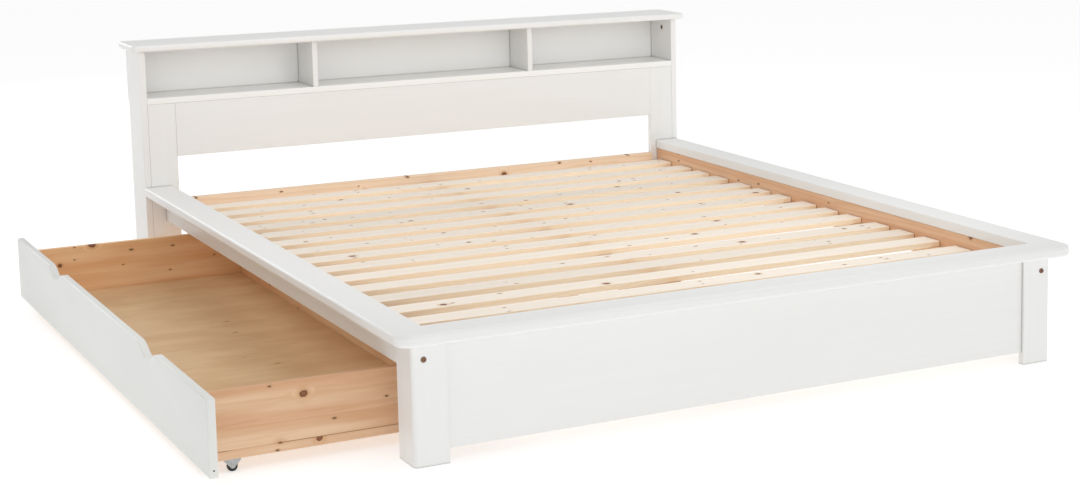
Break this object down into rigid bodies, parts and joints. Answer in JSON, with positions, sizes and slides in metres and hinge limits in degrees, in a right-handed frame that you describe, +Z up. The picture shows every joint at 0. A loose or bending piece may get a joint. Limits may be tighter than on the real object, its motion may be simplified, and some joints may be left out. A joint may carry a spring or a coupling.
{
  "type": "bed frame",
  "caption": "Low wide bed frame with slatted base, broad ledge surround, bookcase headboard and a roll-out underbed drawer on casters.",
  "frame": {"origin": "on the floor under the middle of the slatted base, at the underside of the centre leg", "axes": "+X across the bed to the right seen from the foot end, +Y towards the headboard, +Z up"},
  "size_m": [2.157, 2.245, 0.719],
  "materials": {
    "white_paint": "satin off-white paint on pine",
    "pine": "planed, unfinished, knotty",
    "dowel_wood": "fluted beech",
    "drawer_pine": "clear lacquered, knotty",
    "plywood": "thin raw plywood",
    "bronze": "bronzed steel",
    "zinc": "zinc plated sheet",
    "steel": "bright zinc plated",
    "black_plastic": "moulded"
  },
  "bodies": {
    "frame": {"headboard_cap": "white_paint", "headboard_side_left": "white_paint", "headboard_side_right": "white_paint", "headboard_stile_left": "white_paint", "headboard_stile_right": "white_paint", "headboard_panel": "white_paint", "headboard_shelf": "white_paint", "divider_left": "white_paint", "divider_right": "white_paint", "headboard_back": "white_paint", "head_rail": "pine", "foot_panel": "white_paint", "leg_left": "white_paint", "leg_right": "white_paint", "foot_cap": "white_paint", "side_cap_left": "white_paint", "side_cap_right": "white_paint", "side_rail_left": "pine", "side_rail_right": "pine", "ledger_left": "pine", "ledger_right": "pine", "slat_1": "pine", "slat_2": "pine", "slat_3": "pine", "slat_4": "pine", "slat_5": "pine", "slat_6": "pine", "slat_7": "pine", "slat_8": "pine", "slat_9": "pine", "slat_10": "pine", "slat_11": "pine", "slat_12": "pine", "slat_13": "pine", "slat_14": "pine", "slat_15": "pine", "slat_16": "pine", "centre_beam": "pine", "centre_leg": "pine", "beam_brackets": "zinc", "frame_bolts": "bronze", "barrel_nuts": "steel", "frame_dowels": "dowel_wood", "frame_screws": "zinc", "cam_locks": "bronze", "cam_bolts": "steel"},
    "drawer": {"drawer_front": "white_paint", "drawer_side_foot": "drawer_pine", "drawer_side_head": "drawer_pine", "drawer_back": "drawer_pine", "drawer_bottom": "plywood", "drawer_dowels": "dowel_wood", "caster_housings": "zinc", "caster_axles": "steel", "caster_screws": "steel"},
    "caster_wheel_1": {"wheel_1": "black_plastic"},
    "caster_wheel_2": {"wheel_2": "black_plastic"},
    "caster_wheel_3": {"wheel_3": "black_plastic"},
    "caster_wheel_4": {"wheel_4": "black_plastic"}
  },
  "joints": [
    {"name": "drawer_slide", "type": "slide", "parent": "frame", "child": "drawer", "axis": [-1, 0, 0], "range_m": [-0.409, 0.2]},
    {"name": "wheel_spin_1", "type": "hinge", "parent": "drawer", "child": "caster_wheel_1", "pos_m": [-1.178, -0.8435, 0.01125], "axis": [0, 1, 0], "continuous": true},
    {"name": "wheel_spin_2", "type": "hinge", "parent": "drawer", "child": "caster_wheel_2", "pos_m": [-0.695, -0.8435, 0.01125], "axis": [0, 1, 0], "continuous": true},
    {"name": "wheel_spin_3", "type": "hinge", "parent": "drawer", "child": "caster_wheel_3", "pos_m": [-1.178, 0.8625, 0.01125], "axis": [0, 1, 0], "continuous": true},
    {"name": "wheel_spin_4", "type": "hinge", "parent": "drawer", "child": "caster_wheel_4", "pos_m": [-0.695, 0.8625, 0.01125], "axis": [0, 1, 0], "continuous": true}
  ],
  "couplings": [
    {"joint": "wheel_spin_1", "follows": "drawer_slide", "rad_per_m": -88.889},
    {"joint": "wheel_spin_2", "follows": "drawer_slide", "rad_per_m": -88.889},
    {"joint": "wheel_spin_3", "follows": "drawer_slide", "rad_per_m": -88.889},
    {"joint": "wheel_spin_4", "follows": "drawer_slide", "rad_per_m": -88.889}
  ]
}
